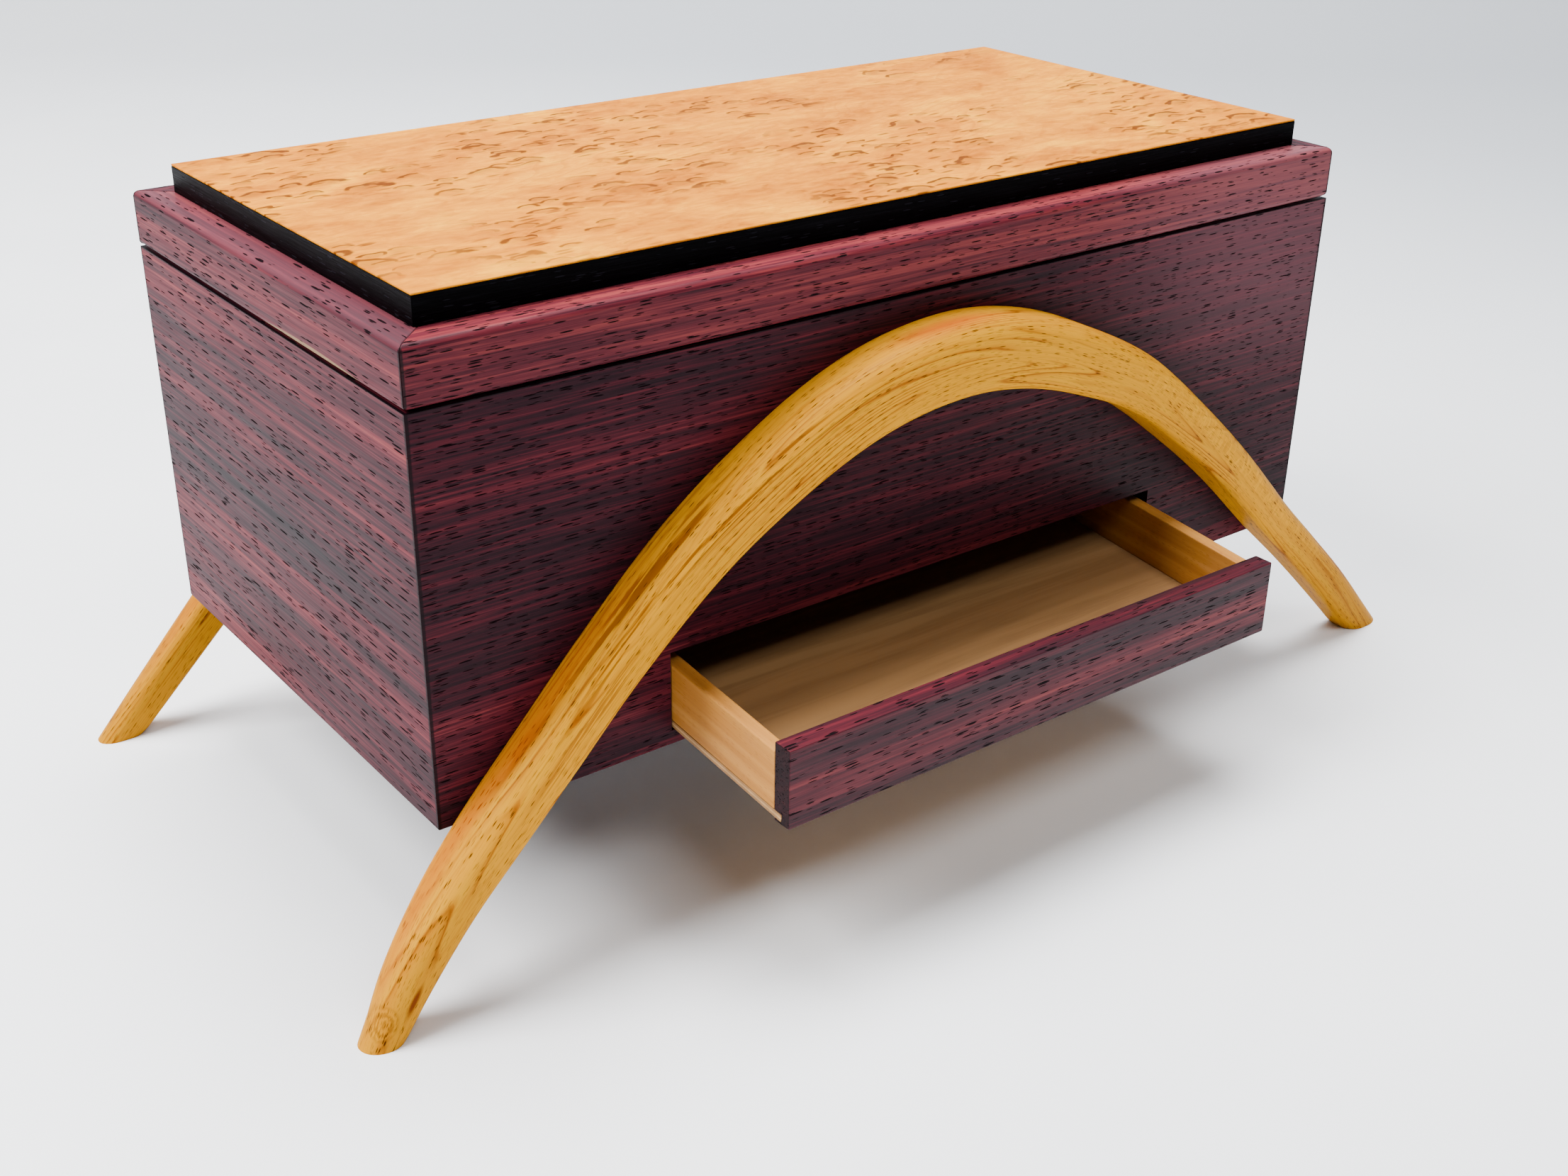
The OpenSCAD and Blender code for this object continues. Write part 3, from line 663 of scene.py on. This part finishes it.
def arch_section(width, depth, roundness):
    """Points round the section: (outwards across the bend, out from the panel), in millimetres."""
    def radius(pair):
        return pair[0] + (pair[1] - pair[0]) * min(max(roundness, 0), 1)

    corners = [
        (1, 1, radius(OUTER_FRONT_R), 0),
        (-1, 1, radius(INNER_FRONT_R), 90),
        (-1, -1, radius(BACK_R), 180),
        (1, -1, radius(BACK_R), 270),
    ]
    round_points = []
    for sx, sy, r, start in corners:
        middle = Vector((sx * (width / 2 - r), depth / 2 + sy * (depth / 2 - r)))
        for k in range(CORNER_STEPS + 1):
            angle = math.radians(start + 90 * k / CORNER_STEPS)
            round_points.append(middle + r * Vector((math.cos(angle), math.sin(angle))))
    points = []
    for k, point in enumerate(round_points):
        points.append(point)
        if (k + 1) % (CORNER_STEPS + 1) == 0:
            after = round_points[(k + 1) % len(round_points)]
            points.extend(point.lerp(after, j / SIDE_STEPS) for j in range(1, SIDE_STEPS))
    return points


def arch_rings(stations):
    """Rings round the arch, each with its slope.

    A ring's points are x, y, z and then how far along the arch, across it and out from the panel they are.
    """
    first = [2 * p - q for p, q in zip(stations[0], stations[1])]
    last = [2 * p - q for p, q in zip(stations[-1], stations[-2])]
    padded = [first, *stations, last]
    samples = []
    for i in range(len(stations) - 1):
        for k in range(ARCH_STEPS):
            samples.append(curve_point(*padded[i:i + 4], k / ARCH_STEPS))
    samples.append(list(stations[-1]))
    rings = []
    along = 0.0
    for n, s in enumerate(samples):
        before, after = samples[max(n - 1, 0)], samples[min(n + 1, len(samples) - 1)]
        slope = Vector((after[0] - before[0], after[1] - before[1])).normalized()
        if n:
            along += math.dist(s[:2], samples[n - 1][:2])
        ring = []
        for across, out in arch_section(s[2], s[4], s[5]):
            x, z = s[0] - slope.y * across, s[1] + slope.x * across
            ring.append((x, -max(s[3], 0) - out, z, along, across, out))
        rings.append((slope, ring))
    return rings


def arch(name, stations, node, side, material):
    """An arch of smooth wood, its feet cut level. side is -1 in front of the box and 1 behind it."""
    rings = arch_rings(stations)
    mesh = bmesh.new()
    grain = mesh.verts.layers.float_vector.new("grain")
    face_y = FRONT_Y if side < 0 else BACK_Y
    built = []
    for n, (slope, ring) in enumerate(rings):
        end = n in (0, len(rings) - 1)
        if not end and min(point[2] for point in ring) < FOOT_CLEARANCE:
            continue
        row = []
        for x, y, z, along, across, out in ring:
            if end:
                x -= slope.x * z / slope.y
                along -= z / slope.y
                z = 0
            vert = mesh.verts.new((x * MM, face_y - side * y * MM, z * MM))
            vert[grain] = (along * MM, across * MM, out * MM)
            row.append(vert)
        built.append(row)
    for low, high in zip(built, built[1:]):
        for k in range(len(low)):
            j = (k + 1) % len(low)
            mesh.faces.new((low[k], low[j], high[j], high[k]))
    mesh.faces.new(list(reversed(built[0])))
    mesh.faces.new(built[-1])
    bmesh.ops.recalc_face_normals(mesh, faces=mesh.faces)
    piece(mesh, name, "box", [node], material, flat=False)


# ---------------------------------------------------------------- fittings

# The knob's outline in millimetres, from its underside round to the top: radius and height
KNOB_OUTLINE = [
    (1.5, 4), (1.5, 0.1), (4.1, 0.1), (4.5, 0.4),
    (4.4, 0.8), (4.05, 1.5), (3.75, 2.2), (3.6, 3), (3.75, 3.7),
    (4.4, 4.5), (5.5, 5.1), (6.4, 5.7), (6.85, 6.5), (7, 7.3), (6.95, 8.1),
    (6.6, 9), (6.5, 9.1), (6.4, 9.1), (6.3, 9.3),
    (5.8, 10), (4.8, 10.7), (3.4, 11.2), (1.8, 11.5), (0, 11.6),
]
SPRING_WIRE = 0.45 * MM   # radius of the springs' wire
CLOSED_TURN = 0.75        # how much of a turn lies nearly flat at each end of a spring
CLOSED_PITCH = 0.35       # how steeply it still runs, against an even spring


def lathe(profile, centre, steps):
    """A closed shape turned about a vertical axis: profile is (radius, height) pairs from bottom to top."""
    mesh = bmesh.new()
    rings = []
    for radius, height in profile:
        if radius < 1e-7:
            rings.append([mesh.verts.new(centre + Vector((0, 0, height)))])
            continue
        ring = []
        for k in range(steps):
            angle = 2 * math.pi * k / steps
            spoke = Vector((radius * math.cos(angle), radius * math.sin(angle), height))
            ring.append(mesh.verts.new(centre + spoke))
        rings.append(ring)
    for low, high in zip(rings, rings[1:]):
        for k in range(steps):
            j = (k + 1) % steps
            corners = [low[k % len(low)], low[j % len(low)], high[j % len(high)], high[k % len(high)]]
            mesh.faces.new(list(dict.fromkeys(corners)))
    bmesh.ops.recalc_face_normals(mesh, faces=mesh.faces)
    return mesh


def spring_run(share, closed):
    """How far along its axis a spring is at a share of its turns; closed is the share that is nearly flat."""
    if share < closed:
        return share * CLOSED_PITCH
    if share > 1 - closed:
        return 1 - (1 - share) * CLOSED_PITCH
    return closed * CLOSED_PITCH + (share - closed) * (1 - 2 * CLOSED_PITCH * closed) / (1 - 2 * closed)


def spring(mesh, x, z, y_back, length, radius, wire, turns=6, per_turn=40, sides=10):
    """Adds a compression spring along Y with its end turns closed."""
    count = turns * per_turn
    rows = []
    for k in range(count + 1):
        share = k / count
        angle = 2 * math.pi * turns * share
        y = y_back - wire - spring_run(share, CLOSED_TURN / turns) * (length - 2 * wire)
        row = []
        for j in range(sides):
            a = 2 * math.pi * j / sides
            r = radius + wire * math.cos(a)
            place = (x + r * math.cos(angle), y + wire * math.sin(a), z + r * math.sin(angle))
            row.append(mesh.verts.new(place))
        rows.append(row)
    for low, high in zip(rows, rows[1:]):
        for j in range(sides):
            i = (j + 1) % sides
            mesh.faces.new((low[j], high[j], high[i], low[i]))
    mesh.faces.new(rows[0])
    mesh.faces.new(list(reversed(rows[-1])))


# ---------------------------------------------------------------- assembly

# Where in the tree each board was cut: the lid's side and back rails carry on the figure of the walls below
LEFT_BOARD = (0.4, 0.2, 0.02)
RIGHT_BOARD = (1.4, 0.5, 0.07)
BACK_BOARD = (2.3, 0.5, 0.11)
LID_FRONT_BOARD = (0, 0, 0.004)
DRAWER_BOARD = (0.2, 0.3, 0.012)

# What the left wall and the lid's left rail share
LEFT_WOOD = {"lightness": -0.03, "reach": BACK_Y, "figure": STRIPED, "band": 14, "pores": 1.1}

BOTTOM_LAYERS = 3
CORE_LAYERS = 7
DRAWER_LAYER = 0.74 * MM  # one layer of the drawer's thin bottom


def is_outer(a, b):
    """Whether an edge lies on the outside of the box."""
    faces = ((0, BOX_LEFT), (0, BOX_RIGHT), (1, FRONT_Y), (1, BACK_Y))
    return any(all(abs(v[axis] - place) < TINY for v in (a, b)) for axis, place in faces)


def build_body():
    front = rosewood("rosewood_front", lightness=-0.06, gloss=0.06, reach=BOX_RIGHT, sheen_patch=FRONT_SHEEN_PATCH)
    left = rosewood("rosewood_left", ALONG_Y, LEFT_BOARD, gloss=0.05, **LEFT_WOOD)
    right = rosewood("rosewood_right", ALONG_Y, RIGHT_BOARD, reach=BACK_Y)
    back = rosewood("rosewood_back", ALONG_X, BACK_BOARD, reach=BOX_RIGHT)

    def low_edge(a, b):
        return max(a.z, b.z) < UNDERSIDE_Z + TINY and is_outer(a, b)

    def off_seam(a, b):
        return min(a.z, b.z) < SEAM_Z - TINY

    for name, material in (("front", front), ("back", back), ("left", left), ("right", right)):
        edges = ((0.7 * MM, low_edge), (0.3 * MM, off_seam))
        eased_node(name + "_panel", "box", "rosewood", material, *edges)
    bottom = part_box("bottom_panel")
    layer = (bottom[1].z - bottom[0].z) / BOTTOM_LAYERS
    ply = plywood("ply_bottom", layer, start=bottom[0].z, stained=True)
    eased_node("bottom_panel", "box", "plywood", ply, 0.2 * MM)
    eased_node("inner_floor", "box", "maple", maple("maple_floor"), 0.2 * MM)
    runners = maple("maple_runner", ALONG_Y, (0.5, 0, 0))
    for side in ("left", "right"):
        eased_node("runner_" + side, "box", "maple", runners, 0.3 * MM)
    dowels = maple("maple_dowel", ALONG_Z)
    eased_node("drawer_stops", "box", "maple", dowels, 0.4 * MM)
    pegs = maple("maple_peg", ALONG_Y)
    for node in ("front_arch_dowels", "rear_arch_dowels", "spring_pegs"):
        eased_node(node, "box", "maple", pegs, 0.5 * MM)


def build_lid():
    front = rosewood(
        "rosewood_lid_front", ALONG_X, LID_FRONT_BOARD,
        lightness=0.19, gloss=0.1, reach=BOX_RIGHT, sheen_patch=FRONT_SHEEN_PATCH,
    )
    left = rosewood(
        "rosewood_lid_left", ALONG_Y, LEFT_BOARD,
        gloss=0.06, sapwood=True, sheen_patch=RAIL_SHEEN_PATCH, **LEFT_WOOD,
    )
    right = rosewood("rosewood_lid_right", ALONG_Y, RIGHT_BOARD, lightness=0.03, reach=BACK_Y)
    back = rosewood("rosewood_lid_back", ALONG_X, BACK_BOARD, lightness=0.03, reach=BOX_RIGHT)

    def top_edge(a, b):
        return min(a.z, b.z) > LID_TOP_Z - TINY and is_outer(a, b)

    def low_edge(a, b):
        return max(a.z, b.z) < rail_low.z + TINY and is_outer(a, b)

    for name, material in (("front", front), ("left", left), ("right", right), ("back", back)):
        edges = ((2 * MM, top_edge), (1.5 * MM, low_edge), 0.4 * MM)
        eased_node(f"lid_{name}_rail", "lid", "rosewood", material, *edges)
    black_x = black_wood("black_edging_x")
    black_y = black_wood("black_edging_y", ALONG_Y)
    for name, material in (("front", black_x), ("back", black_x), ("left", black_y), ("right", black_y)):
        eased_node("edging_" + name, "lid", "black_edging", material, 0.2 * MM)
    core_low, core_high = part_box("lid_core")
    ply = plywood("ply_core", (core_high.z - core_low.z) / CORE_LAYERS, start=core_low.z)
    eased_node("lid_core", "lid", "plywood", ply, 0.1 * MM)
    eased_node("burl_veneer", "lid", "burl_veneer", burl("burl"), 0.25 * MM)
    eased_node("lining_veneer", "lid", "maple", maple("maple_lining", ALONG_X, (0.9, 0, 0)), 0.1 * MM)


def build_hinges():
    brass = metal("brass", tint(214, 176, 92), tint(150, 112, 48), grain=(8, 0.25, 0.25))
    for side in ("left", "right"):
        eased_node("hinge_leaf_body_" + side, "box", "brass", brass, 0.12 * MM)
        eased_node("hinge_leaf_lid_" + side, "lid", "brass", brass, 0.12 * MM)
    eased_node("hinge_pins", "box", "brass", brass, 0.25 * MM)
    screw = metal("brass_screw", tint(222, 186, 104), tint(140, 100, 40), grain=(0.4, 0.4, 4))
    eased_node("hinge_screws_body", "box", "brass", screw, 0.05 * MM)
    eased_node("hinge_screws_lid", "lid", "brass", screw, 0.05 * MM)


def build_drawer():
    front = rosewood(
        "rosewood_drawer", ALONG_X, DRAWER_BOARD,
        lightness=0.02, gloss=0.12, figure=BANDED, band=10, pores=1,
    )
    eased_node("drawer_front", "drawer", "rosewood", front, 0.4 * MM)
    tilted = (TILT, 0, 0)
    sides = maple("maple_drawer", (0, -TILT, math.radians(90)), (0.2, 0, 0))
    for side in ("left", "right"):
        eased_node("drawer_side_" + side, "drawer", "maple", sides, 0.5 * MM)
    eased_node("drawer_back", "drawer", "maple", maple("maple_drawer_back", tilted, (0.7, 0, 0)), 0.5 * MM)
    ply = plywood("ply_drawer", DRAWER_LAYER, tilted)
    eased_node("drawer_bottom", "drawer", "plywood", ply, 0.2 * MM)


def build_lock():
    low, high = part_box("lock_knob")
    middle = (low + high) / 2
    knob = lathe([(r * MM, h * MM) for r, h in KNOB_OUTLINE], Vector((middle.x, middle.y, low.z)), 64)
    black = black_wood("black_knob", ALONG_Z)
    piece(knob, "lock_knob_turned", "lock", ["lock_knob"], black, flat=False)
    brass = metal("brass_pin", tint(218, 182, 100), tint(150, 112, 48), grain=(0.3, 0.3, 6))
    low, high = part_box("lock_pin")
    middle = (low + high) / 2
    r = (high.x - low.x) / 2
    length = high.z - low.z
    outline = [
        (0, 0),
        (r * 0.5, 0.1 * MM),
        (r * 0.85, 0.4 * MM),
        (r, 0.9 * MM),
        (r, length - 0.2 * MM),
        (r - 0.2 * MM, length),
        (0, length),
    ]
    pin = lathe(outline, Vector((middle.x, middle.y, low.z)), 48)
    piece(pin, "lock_pin_rod", "lock", ["lock_pin"], brass)
    eased_node("pin_bush", "box", "brass", brass, 0.2 * MM)


def build_springs():
    low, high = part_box("ejector_springs")
    radius = (high.z - low.z) / 2 - SPRING_WIRE
    x = high.x - radius - SPRING_WIRE
    z = (low.z + high.z) / 2
    steel = metal("spring_steel", tint(190, 192, 196), tint(96, 98, 104), 0.25, (0.3, 0.3, 0.3))
    mesh = bmesh.new()
    for side in (-1, 1):
        spring(mesh, side * x, z, high.y, high.y - low.y, radius, SPRING_WIRE)
    bmesh.ops.recalc_face_normals(mesh, faces=mesh.faces)
    coils = piece(mesh, "ejector_spring_coils", "box", ["ejector_springs"], steel, flat=False)
    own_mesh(coils)


# ---------------------------------------------------------------- stage

FLOOR_NEAR = -2.6     # the floor's near end, along the camera's heading
FLOOR_MIDDLE = -1.0
FLOOR_FAR = 1.1       # where it starts to curve up
SWEEP_RADIUS = 0.45
BACKDROP_TOP = 2.4
STAGE_HALF_WIDTH = 3.0
SWEEP_STEPS = 18


def make_stage():
    """A pale sweep: a floor that curves up into a backdrop, square to the camera.

    Its paper is painted a little darker towards the back, in place of light that falls off.
    """
    turn = Matrix.Rotation(-CAMERA_HEADING, 3, "Z")
    paint = Paint("stage_paper")
    patches = paint.noise(paint.place((0.12, 0.12, 0.12)), 3)
    colour = paint.ramp(patches, (0.3, tint(241, 242, 245)), (0.7, tint(246, 247, 249)))
    away = paint.vector("DOT_PRODUCT", paint.add("TexCoord").outputs["Object"], turn @ Vector((0.7, 1, 0)))
    colour = paint.mix(paint.span(away, 0.1, 1.3), colour, tint(196, 200, 206))
    material = paint.finish(colour, 0.6)
    mesh = bmesh.new()
    outline = [(FLOOR_NEAR, 0), (FLOOR_MIDDLE, 0), (FLOOR_FAR, 0)]
    for k in range(1, SWEEP_STEPS + 1):
        angle = math.radians(90 / SWEEP_STEPS * k)
        rise = SWEEP_RADIUS - SWEEP_RADIUS * math.cos(angle)
        outline.append((FLOOR_FAR + SWEEP_RADIUS * math.sin(angle), rise))
    outline.append((FLOOR_FAR + SWEEP_RADIUS, BACKDROP_TOP))
    rows = []
    for y, z in outline:
        rows.append([mesh.verts.new(turn @ Vector((x, y, z))) for x in (-STAGE_HALF_WIDTH, STAGE_HALF_WIDTH)])
    for (a, b), (c, d) in zip(rows, rows[1:]):
        mesh.faces.new((a, b, d, c))
    data = bpy.data.meshes.new("stage")
    mesh.to_mesh(data)
    mesh.free()
    data.shade_smooth()
    data.materials.append(material)
    stage = bpy.data.objects.new("stage", data)
    bpy.context.scene.collection.objects.link(stage)


def make_light(name, place, target, size, power, colour=(1, 1, 1)):
    light = bpy.data.lights.new(name, "AREA")
    light.shape = "RECTANGLE"
    light.size, light.size_y = size
    light.energy = power
    light.color = colour
    obj = bpy.data.objects.new(name, light)
    obj.location = place
    obj.rotation_mode = "QUATERNION"
    obj.rotation_quaternion = (Vector(target) - Vector(place)).to_track_quat("-Z", "Y")
    bpy.context.scene.collection.objects.link(obj)


def make_lights():
    world = bpy.data.worlds.new("studio")
    world.use_nodes = True
    background = world.node_tree.nodes["Background"]
    background.inputs["Color"].default_value = (0.92, 0.96, 1, 1)
    background.inputs["Strength"].default_value = 0.06
    bpy.context.scene.world = world
    make_light("key", (-1.1, 0.3, 1.35), (0, 0, 0.08), (1.0, 1.0), 66)
    make_light("overhead", (0.15, 0.25, 1.7), (0, 0.05, 0), (1.0, 0.8), 72, (0.98, 0.99, 1))
    make_light("fill", (-0.1, -1.2, 1.75), (0, 0, 0.1), (1.2, 0.6), 18)


def main():
    make_camera()
    make_stage()
    make_lights()
    arch("front_arch_bent", FRONT_ARCH, "front_arch", -1, golden("golden_front"))
    # the rear arch's golden wood is a deeper copy, with painted shade all over
    arch("rear_arch_bent", REAR_ARCH, "rear_arch", 1, golden("golden_rear_painted_shade", 0.9))
    build_body()
    build_lid()
    build_hinges()
    build_drawer()
    build_lock()
    build_springs()


main()
